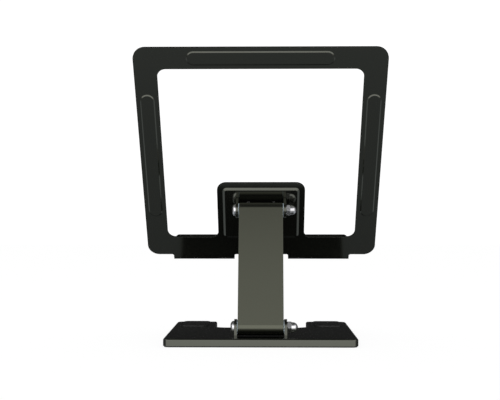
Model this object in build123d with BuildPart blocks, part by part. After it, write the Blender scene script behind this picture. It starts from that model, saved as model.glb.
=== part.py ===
"""Folding tablet stand: a heavy base, a swinging arm and an open frame that holds the tablet.

Frame: +Z up, +X to the user's right, the user sits on the -Y side.  The origin is the
centre of the base's underside, on the surface that the stand rests on.
"""

from build123d import *
import os
from math import cos, radians, sin

# ------------------------------------------------------------------ driving sizes (mm)
# Base
base_width = 140.0
base_depth = 120.0
base_thickness = 5.4
base_corner_radius = 5.0
base_edge_radius = 1.4
bite_width = 73.8
bite_depth = 45.0
bite_inner_radius = 10.0
bite_outer_radius = 2.0
foot_pad_thickness = 0.8
foot_pad_inset = 0.6
rest_pad_width = 21.5
rest_pad_length = 35.0
rest_pad_thickness = 0.8
rest_pad_radius = 4.0
rest_pad_centre_x = 53.3
rest_pad_front_margin = 2.5

# Arm
arm_length = 92.0
arm_width = 33.5
arm_thickness = 12.0
arm_lean = 21.0
arm_edge_radius = 0.5
lower_axis_from_rear = 18.0

# Hinge hardware, the same at both ends of the arm
bracket_sheet = 2.0
bracket_width = 12.0
bracket_axis_height = 11.7
bracket_outer_bend = 1.5
bracket_inner_bend = 0.2
bracket_fixing_spacing = 20.0
bolt_radius = 2.5
bolt_head_radius = 4.75
bolt_head_rim = 0.4
bolt_head_height = 2.75
bolt_head_flat_radius = 1.9
bolt_socket_flats = 3.0
bolt_socket_depth = 1.5
bolt_tip_chamfer = 0.4
nut_flats = 8.0
nut_hex_height = 3.2
nut_dome_radius = 3.7
nut_collar_height = 1.0
nut_thread_depth = 5.7
bush_wall = 0.95
bush_length = 8.0
bush_flange_thickness = 0.5
bush_flange_radius = 5.5
fixing_radius = 1.5
fixing_head_radius = 2.9
screw_length = 4.3
screw_socket_flats = 1.8
screw_socket_depth = 0.9
rivet_tail_radius = 2.2

# Frame that carries the tablet
frame_width = 180.6
frame_height = 178.6
frame_sheet = 1.5
frame_tilt = 34.0
frame_bar = 16.6
frame_corner_radius = 9.0
opening_corner_radius = 6.2
tongue_width = 67.6
tongue_height = 50.4
tongue_corner_radius = 7.0
tongue_root_radius = 4.7
upper_axis_up_frame = 48.4
boss_margin = 4.3
boss_raise = 1.2
boss_slope = 1.6
boss_corner_radius = 3.2
rib_length = 105.2
rib_width = 10.6
rib_raise = 0.7
rib_slope = 0.8

# Hooks that catch the tablet's lower edge
hook_inner_x = 21.5
hook_outer_x = 70.0
hook_drop = 6.0
hook_reach = 20.0
hook_tip_height = 5.5
hook_bend_radius = 3.0
hook_corner_radius = 3.5
hook_root_radius = 1.5

# Silicone pads
pad_stand_out = 1.5
pad_edge_radius = 0.3
hook_pad_thickness = 1.2
hook_pad_side_gap = 1.8
hook_pad_tip_gap = 1.0

# Clearances
running_clearance = 0.05
bush_clearance = 0.03
slot_clearance = 0.25
hole_clearance = 0.1
pad_clearance = 0.25

# ------------------------------------------------------------------ what follows from them
base_bottom = foot_pad_thickness
base_top = base_bottom + base_thickness
lower_axis = Vector(0, base_depth / 2 - lower_axis_from_rear, base_bottom + bracket_axis_height)
arm_direction = Vector(0, -sin(radians(arm_lean)), cos(radians(arm_lean)))
upper_axis = lower_axis + arm_direction * arm_length

ear_inner_x = arm_width / 2 + bush_flange_thickness
ear_outer_x = ear_inner_x + bracket_sheet
ear_end_radius = bracket_width / 2
bush_bore_radius = bolt_radius + running_clearance
bush_radius = bush_bore_radius + bush_wall

frame_up = Vector(0, sin(radians(frame_tilt)), cos(radians(frame_tilt)))
frame_front = Vector(0, -cos(radians(frame_tilt)), sin(radians(frame_tilt)))
boss_back = -boss_raise
boss_floor = frame_sheet - boss_raise
rib_floor = frame_sheet - rib_raise
axis_behind_frame = bracket_axis_height - bracket_sheet - boss_floor
frame_origin = upper_axis - frame_up * upper_axis_up_frame + frame_front * axis_behind_frame
pad_top = frame_sheet + pad_stand_out

# Back face of the frame's sheet: local x to the right, y up the frame, z towards the tablet
frame_plane = Plane(origin=frame_origin, x_dir=(1, 0, 0), z_dir=frame_front)
# The same place seen from the side: local x towards the tablet, y up the frame
frame_side = Plane(origin=frame_origin, x_dir=frame_front, z_dir=(-1, 0, 0))

# Each hinge has a plane at the middle of its axis, with z pointing from the web to the axis
lower_hinge = Plane(origin=lower_axis, x_dir=(1, 0, 0), z_dir=(0, 0, 1))
upper_hinge = Plane(origin=upper_axis, x_dir=(1, 0, 0), z_dir=-frame_front)

os.makedirs("parts", exist_ok=True)


def save(piece, label):
    """Name a finished piece and write it as its own STEP file."""
    piece.part.label = label
    export_step(piece.part, f"parts/{label}.step")


def along_axis(hinge):
    """Plane through a hinge's axis: local x along the axis, y away from the bracket's web."""
    return Plane(origin=hinge.origin, x_dir=hinge.x_dir, z_dir=-hinge.y_dir)


def across_axis(hinge, x=0.0):
    """Plane square to a hinge's axis at x: local x across the ears, y away from the web."""
    return Plane(origin=hinge.origin + hinge.x_dir * x, x_dir=hinge.y_dir, z_dir=hinge.x_dir)


# ------------------------------------------------------------------ base
def base_outline(inset=0.0):
    """Plan of the base: a rounded plate with a square bite out of its front edge."""
    front = -base_depth / 2
    with BuildSketch() as outline:
        RectangleRounded(base_width, base_depth, base_corner_radius)
        with Locations((0, front + bite_depth / 2)):
            Rectangle(bite_width, bite_depth, mode=Mode.SUBTRACT)
        bite_corners = outline.vertices().filter_by(lambda v: abs(abs(v.X) - bite_width / 2) < 1e-6)
        fillet(bite_corners.group_by(Axis.Y)[-1], bite_inner_radius)
        bite_corners = outline.vertices().filter_by(lambda v: abs(abs(v.X) - bite_width / 2) < 1e-6)
        fillet(bite_corners.group_by(Axis.Y)[0], bite_outer_radius)
        if inset:
            offset(amount=-inset, kind=Kind.INTERSECTION)
    return outline.sketch


def make_base_plate():
    """Steel plate with a rounded top edge, a pocket below for the bracket and two ear slots."""
    web_pocket = bracket_sheet
    with BuildPart() as plate:
        with BuildSketch(Plane.XY.offset(base_bottom)):
            add(base_outline())
        extrude(amount=base_thickness)
        fillet(plate.faces().sort_by(Axis.Z)[-1].edges(), base_edge_radius)
        with BuildSketch(Plane.XY.offset(base_bottom)):
            with Locations((0, lower_axis.Y)):
                Rectangle(2 * (ear_outer_x + slot_clearance), bracket_width + 2 * slot_clearance)
        extrude(amount=web_pocket, mode=Mode.SUBTRACT)
        with BuildSketch(Plane.XY.offset(base_bottom)):
            with Locations((0, lower_axis.Y)):
                with GridLocations(ear_inner_x + ear_outer_x, 0, 2, 1):
                    Rectangle(bracket_sheet + 2 * slot_clearance, bracket_width + 2 * slot_clearance)
        extrude(amount=base_thickness, mode=Mode.SUBTRACT)
        with BuildSketch(Plane.XY.offset(base_bottom)):
            with Locations((0, lower_axis.Y)):
                with GridLocations(bracket_fixing_spacing, 0, 2, 1):
                    Circle(fixing_radius + running_clearance)
        extrude(amount=screw_length + hole_clearance, mode=Mode.SUBTRACT)
    save(plate, "base_plate")


def make_foot_pad():
    """Silicone sheet glued under the whole base."""
    with BuildPart() as pad:
        with BuildSketch():
            add(base_outline(foot_pad_inset))
        extrude(amount=foot_pad_thickness)
    save(pad, "base_foot_pad")


def make_rest_pads():
    """Two thin silicone pads on the base's front lobes, which cushion the folded frame."""
    centre_y = -base_depth / 2 + rest_pad_front_margin + rest_pad_length / 2
    for side, label in ((-1, "base_rest_pad_left"), (1, "base_rest_pad_right")):
        with BuildPart() as pad:
            with BuildSketch(Plane.XY.offset(base_top)):
                with Locations((side * rest_pad_centre_x, centre_y)):
                    RectangleRounded(rest_pad_width, rest_pad_length, rest_pad_radius)
            extrude(amount=rest_pad_thickness)
            fillet(pad.faces().sort_by(Axis.Z)[-1].edges(), pad_edge_radius)
        save(pad, label)


# ------------------------------------------------------------------ hinge hardware
def make_bracket(hinge, label):
    """U-shaped bracket: its web lies against the plate and its two ears pass through slots."""
    web_outside = -bracket_axis_height
    height = bracket_axis_height + ear_end_radius
    with BuildPart() as bracket:
        with BuildSketch(along_axis(hinge)) as section:
            with Locations((0, web_outside)):
                Rectangle(2 * ear_outer_x, height, align=(Align.CENTER, Align.MIN))
            with Locations((0, web_outside + bracket_sheet)):
                Rectangle(2 * ear_inner_x, height, align=(Align.CENTER, Align.MIN), mode=Mode.SUBTRACT)
            low = section.vertices().group_by(Axis.Y)
            fillet(low[0], bracket_outer_bend)
            low = section.vertices().filter_by(lambda v: abs(v.Y - web_outside - bracket_sheet) < 1e-6)
            fillet(low, bracket_inner_bend)
        extrude(amount=bracket_width / 2, both=True)
        with BuildSketch(across_axis(hinge)):
            Circle(ear_end_radius)
            Rectangle(bracket_width, bracket_axis_height, align=(Align.CENTER, Align.MAX))
        extrude(amount=ear_outer_x, both=True, mode=Mode.INTERSECT)
        with BuildSketch(across_axis(hinge)):
            Circle(bolt_radius + hole_clearance)
        extrude(amount=ear_outer_x, both=True, mode=Mode.SUBTRACT)
        web_face = Plane(
            origin=hinge.origin + hinge.z_dir * web_outside, x_dir=hinge.x_dir, z_dir=-hinge.z_dir
        )
        with Locations(web_face):
            with GridLocations(bracket_fixing_spacing, 0, 2, 1):
                CounterSinkHole(
                    fixing_radius + running_clearance,
                    fixing_head_radius + running_clearance,
                    depth=bracket_sheet,
                    counter_sink_angle=90,
                )
    save(bracket, label)


def make_fixings(hinge, label, profile, socket_flats=0.0):
    """The pair of countersunk fixings that hold a bracket's web, turned about their own axes."""
    web_centre = hinge.origin - hinge.z_dir * bracket_axis_height
    with BuildPart() as fixings:
        for side in (-1, 1):
            foot = web_centre + hinge.x_dir * (side * bracket_fixing_spacing / 2)
            with BuildSketch(Plane(origin=foot, x_dir=hinge.x_dir, z_dir=-hinge.y_dir)):
                with BuildLine():
                    Polyline(*profile, close=True)
                make_face()
            revolve(axis=Axis(foot, hinge.z_dir))
            if socket_flats:
                with BuildSketch(Plane(origin=foot, x_dir=hinge.x_dir, z_dir=hinge.z_dir)):
                    RegularPolygon(socket_flats / 2, 6, major_radius=False)
                extrude(amount=screw_socket_depth, mode=Mode.SUBTRACT)
    save(fixings, label)


def screw_profile():
    """Half outline of a countersunk screw, from its head's face upwards."""
    cone = fixing_head_radius - fixing_radius
    return [
        (0, 0),
        (fixing_head_radius, 0),
        (fixing_radius, cone),
        (fixing_radius, screw_length),
        (0, screw_length),
    ]


def rivet_profile():
    """Half outline of a flush rivet: a countersunk head, a shank and a set tail."""
    cone = fixing_head_radius - fixing_radius
    tail = rivet_tail_radius - fixing_radius
    length = bracket_sheet + frame_sheet
    return [
        (0, 0),
        (fixing_head_radius, 0),
        (fixing_radius, cone),
        (fixing_radius, length - tail),
        (rivet_tail_radius, length),
        (0, length),
    ]


def make_bolt(hinge, label):
    """Button-head pivot bolt, its head against the right-hand ear."""
    tip = -ear_outer_x - nut_thread_depth + hole_clearance
    head = ear_outer_x
    crown = head + bolt_head_height
    with BuildPart() as bolt:
        with BuildSketch(along_axis(hinge)):
            with BuildLine():
                Polyline(
                    (crown, bolt_head_flat_radius),
                    (crown, 0),
                    (tip, 0),
                    (tip, bolt_radius - bolt_tip_chamfer),
                    (tip + bolt_tip_chamfer, bolt_radius),
                    (head, bolt_radius),
                    (head, bolt_head_radius),
                    (head + bolt_head_rim, bolt_head_radius),
                )
                TangentArc(
                    (head + bolt_head_rim, bolt_head_radius),
                    (crown, bolt_head_flat_radius),
                    tangent=(1, -0.15),
                )
            make_face()
        revolve(axis=Axis(hinge.origin, hinge.x_dir))
        with BuildSketch(across_axis(hinge, crown)):
            RegularPolygon(bolt_socket_flats / 2, 6, major_radius=False)
        extrude(amount=-bolt_socket_depth, mode=Mode.SUBTRACT)
    save(bolt, label)


def make_cap_nut(hinge, label):
    """Domed cap nut on the bolt's free end, against the left-hand ear."""
    seat = -ear_outer_x
    dome_start = seat - nut_hex_height - nut_collar_height
    corner_radius = nut_flats / 2 / cos(radians(30))
    chamfer_run = corner_radius - nut_flats / 2
    with BuildPart() as nut:
        with BuildSketch(across_axis(hinge, seat)):
            RegularPolygon(nut_flats / 2, 6, major_radius=False)
        extrude(amount=-nut_hex_height)
        with BuildSketch(along_axis(hinge)):
            with BuildLine():
                Polyline(
                    (seat, 0),
                    (seat, nut_flats / 2),
                    (seat - chamfer_run, corner_radius),
                    (seat - nut_hex_height + chamfer_run, corner_radius),
                    (seat - nut_hex_height, nut_flats / 2),
                    (seat - nut_hex_height, 0),
                    close=True,
                )
            make_face()
        revolve(axis=Axis(hinge.origin, hinge.x_dir), mode=Mode.INTERSECT)
        with BuildSketch(along_axis(hinge)):
            with BuildLine():
                Polyline(
                    (dome_start - nut_dome_radius, 0),
                    (seat - nut_hex_height, 0),
                    (seat - nut_hex_height, nut_dome_radius),
                    (dome_start, nut_dome_radius),
                )
                RadiusArc(
                    (dome_start, nut_dome_radius),
                    (dome_start - nut_dome_radius, 0),
                    -nut_dome_radius,
                )
            make_face()
        revolve(axis=Axis(hinge.origin, hinge.x_dir))
        with BuildSketch(across_axis(hinge, seat)):
            Circle(bolt_radius + running_clearance)
        extrude(amount=-nut_thread_depth, mode=Mode.SUBTRACT)
    save(nut, label)


def make_bushes(hinge, prefix):
    """Two flanged bushes: the body sits in the arm's bore, the flange spaces the arm from the ear."""
    for side, name in ((-1, "left"), (1, "right")):
        with BuildPart() as bush:
            with BuildSketch(across_axis(hinge, side * ear_inner_x)):
                Circle(bush_flange_radius)
                Circle(bush_bore_radius, mode=Mode.SUBTRACT)
            extrude(amount=-side * bush_flange_thickness)
            with BuildSketch(across_axis(hinge, side * arm_width / 2)):
                Circle(bush_radius)
                Circle(bush_bore_radius, mode=Mode.SUBTRACT)
            extrude(amount=-side * bush_length)
        save(bush, f"{prefix}_bush_{name}")


# ------------------------------------------------------------------ arm
def make_arm():
    """Bar with fully rounded ends, bored across at each end for its bushes."""
    middle = (lower_axis + upper_axis) / 2
    side_plane = Plane(origin=middle, x_dir=arm_direction, z_dir=(1, 0, 0))
    with BuildPart() as arm:
        with BuildSketch(side_plane):
            SlotCenterToCenter(arm_length, arm_thickness)
        extrude(amount=arm_width / 2, both=True)
        side_faces = arm.faces().filter_by(Axis.X)
        fillet(side_faces.edges(), arm_edge_radius)
        for end in (-1, 1):
            with BuildSketch(side_plane):
                with Locations((end * arm_length / 2, 0)):
                    Circle(bolt_radius + 2 * hole_clearance)
            extrude(amount=arm_width / 2, both=True, mode=Mode.SUBTRACT)
            for side in (-1, 1):
                with BuildSketch(side_plane.offset(side * arm_width / 2)):
                    with Locations((end * arm_length / 2, 0)):
                        Circle(bush_radius)
                extrude(amount=-side * (bush_length + bush_clearance), mode=Mode.SUBTRACT)
    save(arm, "arm")


# ------------------------------------------------------------------ frame
def front_inset(raise_height, slope):
    """How far a pressing's front outline lies inside its back outline, for a sheet of even thickness."""
    slant = (raise_height**2 + slope**2) ** 0.5
    return frame_sheet * (slant - slope) / raise_height


def boss_outline(inset=0.0):
    """Outline of the pressed boss that stiffens the tongue, shrunk by inset."""
    width = tongue_width - 2 * boss_margin - 2 * inset
    top = frame_bar + tongue_height - boss_margin - inset
    bottom = frame_bar + inset
    with BuildSketch() as outline:
        with Locations((0, (top + bottom) / 2)):
            RectangleRounded(width, top - bottom, max(boss_corner_radius - inset, 0.8))
    return outline.sketch


def rib_outlines(inset=0.0):
    """Outlines of the three long pressed ribs, by name, shrunk by inset."""
    length = rib_length - 2 * inset
    width = rib_width - 2 * inset
    places = {
        "top": (0, frame_height - frame_bar / 2, 0),
        "left": (-(frame_width - frame_bar) / 2, frame_height / 2, 90),
        "right": ((frame_width - frame_bar) / 2, frame_height / 2, 90),
    }
    outlines = {}
    for name, (x, y, turn) in places.items():
        with BuildSketch() as outline:
            with Locations((x, y)):
                SlotOverall(length, width, rotation=turn)
        outlines[name] = outline.sketch
    return outlines


def sheet_outline():
    """Flat outline of the frame: four bars, the tongue and the roots of the two hooks."""
    with BuildSketch() as outline:
        with Locations((0, frame_height / 2)):
            RectangleRounded(frame_width, frame_height, frame_corner_radius)
            opening_width = frame_width - 2 * frame_bar
            opening_height = frame_height - 2 * frame_bar
            RectangleRounded(opening_width, opening_height, opening_corner_radius, mode=Mode.SUBTRACT)
        with Locations((0, frame_bar)):
            Rectangle(tongue_width, tongue_height, align=(Align.CENTER, Align.MIN))
        tongue_corners = outline.vertices().filter_by(lambda v: abs(abs(v.X) - tongue_width / 2) < 1e-6)
        fillet(tongue_corners.group_by(Axis.Y)[-1], tongue_corner_radius)
        roots = outline.vertices().filter_by(
            lambda v: abs(abs(v.X) - tongue_width / 2) < 1e-6 and abs(v.Y - frame_bar) < 1e-6
        )
        fillet(roots, tongue_root_radius)
        hook_width = hook_outer_x - hook_inner_x
        with GridLocations(hook_inner_x + hook_outer_x, 0, 2, 1):
            Rectangle(hook_width, hook_drop - hook_bend_radius, align=(Align.CENTER, Align.MAX))
        hook_roots = outline.vertices().filter_by(
            lambda v: abs(v.Y) < 1e-6 and abs(v.X) < hook_outer_x + 1e-6
        )
        fillet(hook_roots, hook_root_radius)
    return outline.sketch


def make_frame():
    """Sheet-metal frame in one piece: bars, tongue with its boss, ribs and the two bent hooks."""
    hook_centreline = hook_bend_radius - frame_sheet / 2
    hook_width = hook_outer_x - hook_inner_x
    with BuildPart() as frame:
        with BuildSketch(frame_plane):
            add(sheet_outline())
        extrude(amount=frame_sheet)

        boss_front = front_inset(boss_raise, boss_slope)
        with BuildSketch(frame_plane):
            add(boss_outline())
        with BuildSketch(frame_plane.offset(boss_back)):
            add(boss_outline(boss_slope))
        loft(ruled=True)
        with BuildSketch(frame_plane.offset(frame_sheet)):
            add(boss_outline(boss_front))
        with BuildSketch(frame_plane.offset(boss_floor)):
            add(boss_outline(boss_front + boss_slope))
        loft(ruled=True, mode=Mode.SUBTRACT)

        rib_front = front_inset(rib_raise, rib_slope)
        for name in rib_outlines():
            with BuildSketch(frame_plane):
                add(rib_outlines()[name])
            with BuildSketch(frame_plane.offset(-rib_raise)):
                add(rib_outlines(rib_slope)[name])
            loft(ruled=True)
            with BuildSketch(frame_plane.offset(frame_sheet)):
                add(rib_outlines(rib_front)[name])
            with BuildSketch(frame_plane.offset(rib_floor)):
                add(rib_outlines(rib_front + rib_slope)[name])
            loft(ruled=True, mode=Mode.SUBTRACT)

        with BuildSketch(frame_plane.offset(boss_back)):
            with Locations((0, upper_axis_up_frame)):
                with GridLocations(ear_inner_x + ear_outer_x, 0, 2, 1):
                    Rectangle(bracket_sheet + 2 * slot_clearance, bracket_width + 2 * slot_clearance)
        extrude(amount=boss_raise + frame_sheet, mode=Mode.SUBTRACT)
        back_of_boss = Plane(
            origin=frame_origin + frame_up * upper_axis_up_frame + frame_front * boss_back,
            x_dir=(1, 0, 0),
            z_dir=-frame_front,
        )
        with Locations(back_of_boss):
            with GridLocations(bracket_fixing_spacing, 0, 2, 1):
                CounterSinkHole(
                    fixing_radius + running_clearance,
                    rivet_tail_radius + running_clearance,
                    depth=frame_sheet,
                    counter_sink_angle=90,
                )

        for side in (-1, 1):
            start = side * hook_inner_x
            with BuildPart(mode=Mode.PRIVATE) as hook:
                with BuildSketch(frame_side.offset(-start)):
                    with BuildLine():
                        middle = frame_sheet / 2
                        root = Line((middle, 0), (middle, hook_bend_radius - hook_drop))
                        root_bend = JernArc(root @ 1, (0, -1), hook_centreline, 90)
                        shelf_end = (hook_reach - hook_bend_radius, middle - hook_drop)
                        shelf = Line(root_bend @ 1, shelf_end)
                        tip_bend = JernArc(shelf @ 1, (1, 0), hook_centreline, 90)
                        Line(tip_bend @ 1, (hook_reach - middle, hook_tip_height))
                    trace(line_width=frame_sheet)
                extrude(amount=-side * hook_width)
                with BuildSketch(frame_plane) as face:
                    with Locations((side * (hook_inner_x + hook_outer_x) / 2, hook_tip_height)):
                        Rectangle(
                            hook_width, hook_tip_height + hook_drop, align=(Align.CENTER, Align.MAX)
                        )
                    fillet(face.vertices().group_by(Axis.Y)[-1], hook_corner_radius)
                extrude(amount=hook_reach, mode=Mode.INTERSECT)
            add(hook.part)
    save(frame, "panel_frame")


# ------------------------------------------------------------------ silicone on the frame
def make_strips():
    """Rounded silicone strips in the front hollows of the three ribs."""
    inset = front_inset(rib_raise, rib_slope) + rib_slope + pad_clearance
    for name, outline in rib_outlines(inset).items():
        with BuildPart() as strip:
            with BuildSketch(frame_plane.offset(rib_floor)):
                add(outline)
            extrude(amount=pad_top - rib_floor)
            front = strip.faces().sort_by(Axis(frame_origin, frame_front))[-1]
            fillet(front.edges(), pad_edge_radius)
        save(strip, f"panel_strip_{name}")


def make_tongue_pad():
    """Silicone pad in the boss's front hollow, hollowed behind for the bracket's web."""
    inset = front_inset(boss_raise, boss_slope) + boss_slope + pad_clearance
    with BuildPart() as pad:
        with BuildSketch(frame_plane.offset(boss_floor)):
            add(boss_outline(inset))
        extrude(amount=pad_top - boss_floor)
        front = pad.faces().sort_by(Axis(frame_origin, frame_front))[-1]
        fillet(front.edges(), pad_edge_radius)
        with BuildSketch(frame_plane.offset(boss_floor)):
            with Locations((0, upper_axis_up_frame)):
                Rectangle(2 * (ear_outer_x + slot_clearance), bracket_width + 2 * slot_clearance)
        extrude(amount=bracket_sheet, mode=Mode.SUBTRACT)
    save(pad, "tongue_pad")


def make_hook_pads():
    """Angled silicone liners on the shelf and the inner face of each hook."""
    shelf_top = frame_sheet - hook_drop
    lip_inner = hook_reach - frame_sheet
    back = hook_bend_radius
    width = hook_outer_x - hook_inner_x - 2 * hook_pad_side_gap
    for side, label in ((-1, "hook_pad_left"), (1, "hook_pad_right")):
        start = side * (hook_inner_x + hook_pad_side_gap)
        with BuildPart() as pad:
            with BuildSketch(frame_side.offset(-start)) as section:
                with BuildLine():
                    Polyline(
                        (back, shelf_top),
                        (lip_inner, shelf_top),
                        (lip_inner, hook_tip_height - hook_pad_tip_gap),
                        (lip_inner - hook_pad_thickness, hook_tip_height - hook_pad_tip_gap),
                        (lip_inner - hook_pad_thickness, shelf_top + hook_pad_thickness),
                        (back, shelf_top + hook_pad_thickness),
                        close=True,
                    )
                make_face()
                corner = section.vertices().sort_by_distance((lip_inner, shelf_top))[0]
                fillet(corner, hook_bend_radius - frame_sheet)
            extrude(amount=-side * width)
        save(pad, label)


make_base_plate()
make_foot_pad()
make_rest_pads()
make_bracket(lower_hinge, "base_bracket")
make_fixings(lower_hinge, "base_bracket_screws", screw_profile(), screw_socket_flats)
make_bolt(lower_hinge, "lower_pivot_bolt")
make_cap_nut(lower_hinge, "lower_cap_nut")
make_bushes(lower_hinge, "lower")
make_arm()
make_bushes(upper_hinge, "upper")
make_frame()
make_bracket(upper_hinge, "panel_bracket")
make_fixings(upper_hinge, "panel_bracket_rivets", rivet_profile())
make_bolt(upper_hinge, "upper_pivot_bolt")
make_cap_nut(upper_hinge, "upper_cap_nut")
make_strips()
make_tongue_pad()
make_hook_pads()
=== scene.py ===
"""Looks of a folding tablet stand: lacquered steel, bright fasteners and moulded silicone pads."""

import math

import bmesh
import bpy
from mathutils import Matrix, Vector


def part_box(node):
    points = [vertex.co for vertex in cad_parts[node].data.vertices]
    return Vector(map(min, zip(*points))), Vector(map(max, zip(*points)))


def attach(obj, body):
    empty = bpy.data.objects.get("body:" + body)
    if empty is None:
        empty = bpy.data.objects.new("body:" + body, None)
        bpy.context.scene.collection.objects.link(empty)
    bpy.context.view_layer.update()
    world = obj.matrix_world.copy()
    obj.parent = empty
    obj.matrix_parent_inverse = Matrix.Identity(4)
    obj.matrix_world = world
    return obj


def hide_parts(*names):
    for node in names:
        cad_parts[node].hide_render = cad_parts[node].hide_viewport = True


bl_info = {
    "name": "Tablet stand finishes",
    "version": (1, 0, 0),
    "blender": (4, 5, 0),
    "location": "3D View > Sidebar > Tablet stand",
    "description": "Moulds the silicone pads, finishes the metal and sets up the studio",
    "category": "Object",
}

MM = 0.001
TINY = 1e-6
ACROSS = Vector((1, 0, 0))
ALONG = Vector((0, 1, 0))

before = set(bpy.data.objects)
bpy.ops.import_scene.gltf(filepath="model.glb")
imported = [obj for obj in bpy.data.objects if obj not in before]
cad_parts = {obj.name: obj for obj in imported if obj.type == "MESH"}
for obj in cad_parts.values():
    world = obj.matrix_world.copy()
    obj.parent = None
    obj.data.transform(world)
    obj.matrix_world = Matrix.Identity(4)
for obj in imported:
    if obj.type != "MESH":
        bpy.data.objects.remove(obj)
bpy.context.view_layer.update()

BLACK_PARTS = ["base_plate", "base_bracket", "panel_frame", "panel_bracket"]
BRIGHT_PARTS = ["lower_pivot_bolt", "lower_cap_nut", "upper_pivot_bolt", "upper_cap_nut"]
PLAIN_PARTS = ["base_bracket_screws", "panel_bracket_rivets"]
BUSHES = ["lower_bush_left", "lower_bush_right", "upper_bush_left", "upper_bush_right"]

# The frame leans back about the hinge axis; its pads are moulded flat and laid in its plane.
FRAME_LEAN = math.radians(34.0)
FRAME_UP = Vector((0, math.sin(FRAME_LEAN), math.cos(FRAME_LEAN)))
FRAME_FRONT = Vector((0, -math.cos(FRAME_LEAN), math.sin(FRAME_LEAN)))
FRAME_AXES = Matrix((ACROSS, FRAME_UP, FRAME_FRONT)).transposed().to_4x4()

# Orange peel of the two coatings, turning lines and rounded edges of the fasteners.
BLACK_PEEL_SCALE, BLACK_PEEL_DEPTH = 420.0, 0.006 * MM
ARM_PEEL_SCALE, ARM_PEEL_DEPTH = 700.0, 0.005 * MM
BRIGHT_LINES, PLAIN_LINES = 0.004 * MM, 0.010 * MM
FASTENER_EDGE = 0.2 * MM
LACQUER_IOR = 2.0

# The upper bracket's web lies in a hollow at the back of the tongue pad.
WEB_HALF_WIDTH = 19.5 * MM
WEB_HALF_HEIGHT = 6.25 * MM
WEB_HOLLOW_DEPTH = 2.0 * MM

# Bend radii of the hook liners, outside and inside.
HOOK_OUTER_BEND = 1.5 * MM
HOOK_INNER_BEND = 0.5 * MM

# The floor lies a little below the foot sheet; most of its brightness doesn't take shadows.
FLOOR_DROP = 0.2 * MM
SHADED_SHARE = 0.12
SURROUND_STRENGTH = 1.08


def middle_of(node):
    """Middle of a CAD node's box at rest."""
    low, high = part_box(node)
    return (low + high) / 2


# ------------------------------------------------------------------ settings
class LacquerSettings(bpy.types.PropertyGroup):
    """Colours and wear of the black metal, and the painted warm tint of its reflections."""

    black: bpy.props.FloatVectorProperty(
        name="Lacquer", description="Colour of the baked black lacquer",
        subtype="COLOR", size=3, min=0, max=1, default=(0.0034, 0.0036, 0.0032),
    )
    arm_black: bpy.props.FloatVectorProperty(
        name="Arm", description="Colour of the arm's coating",
        subtype="COLOR", size=3, min=0, max=1, default=(0.0040, 0.0042, 0.0037),
    )
    # Painted reflection colour: these two tints carry the warm cast of the studio softbox, set on
    # the lacquer's specular tint; the arm's tint is warmer still.
    painted_reflection_tint: bpy.props.FloatVectorProperty(
        name="Lacquer gleam", description="Tint of what the lacquer mirrors head on",
        subtype="COLOR", size=3, min=0, max=1, default=(0.96, 1.0, 0.84),
    )
    arm_painted_reflection_tint: bpy.props.FloatVectorProperty(
        name="Arm gleam", description="Tint of what the arm mirrors head on",
        subtype="COLOR", size=3, min=0, max=1, default=(0.95, 1.0, 0.76),
    )
    bare: bpy.props.FloatVectorProperty(
        name="Rubbed edge", description="Colour where handling has thinned the lacquer",
        subtype="COLOR", size=3, min=0, max=1, default=(0.030, 0.030, 0.028),
    )
    dust: bpy.props.FloatVectorProperty(
        name="Dust", description="Colour of settled dust",
        subtype="COLOR", size=3, min=0, max=1, default=(0.16, 0.155, 0.145),
    )
    edge_radius: bpy.props.FloatProperty(
        name="Edge radius", description="How far the coating rounds a cut edge",
        subtype="DISTANCE", unit="LENGTH", min=0, default=0.18 * MM,
    )
    roughness: bpy.props.FloatProperty(
        name="Gloss roughness", description="Roughness of the clean lacquer",
        subtype="FACTOR", min=0, max=1, default=0.09,
    )


class FastenerSettings(bpy.types.PropertyGroup):
    """Colours of bolts, nuts, fixings and bushes."""

    plated: bpy.props.FloatVectorProperty(
        name="Plated steel", description="Colour of the bright bolts and cap nuts",
        subtype="COLOR", size=3, min=0, max=1, default=(0.90, 0.91, 0.92),
    )
    plain: bpy.props.FloatVectorProperty(
        name="Plain steel", description="Colour of the screws and rivets",
        subtype="COLOR", size=3, min=0, max=1, default=(0.48, 0.48, 0.47),
    )
    bright_roughness: bpy.props.FloatProperty(
        name="Plated roughness", description="Roughness of the clean bolts and cap nuts",
        subtype="FACTOR", min=0, max=1, default=0.23,
    )
    plain_roughness: bpy.props.FloatProperty(
        name="Plain roughness", description="Roughness of the clean screws and rivets",
        subtype="FACTOR", min=0, max=1, default=0.32,
    )
    nylon: bpy.props.FloatVectorProperty(
        name="Nylon", description="Colour of the flanged bushes",
        subtype="COLOR", size=3, min=0, max=1, default=(0.36, 0.43, 0.47),
    )


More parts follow.
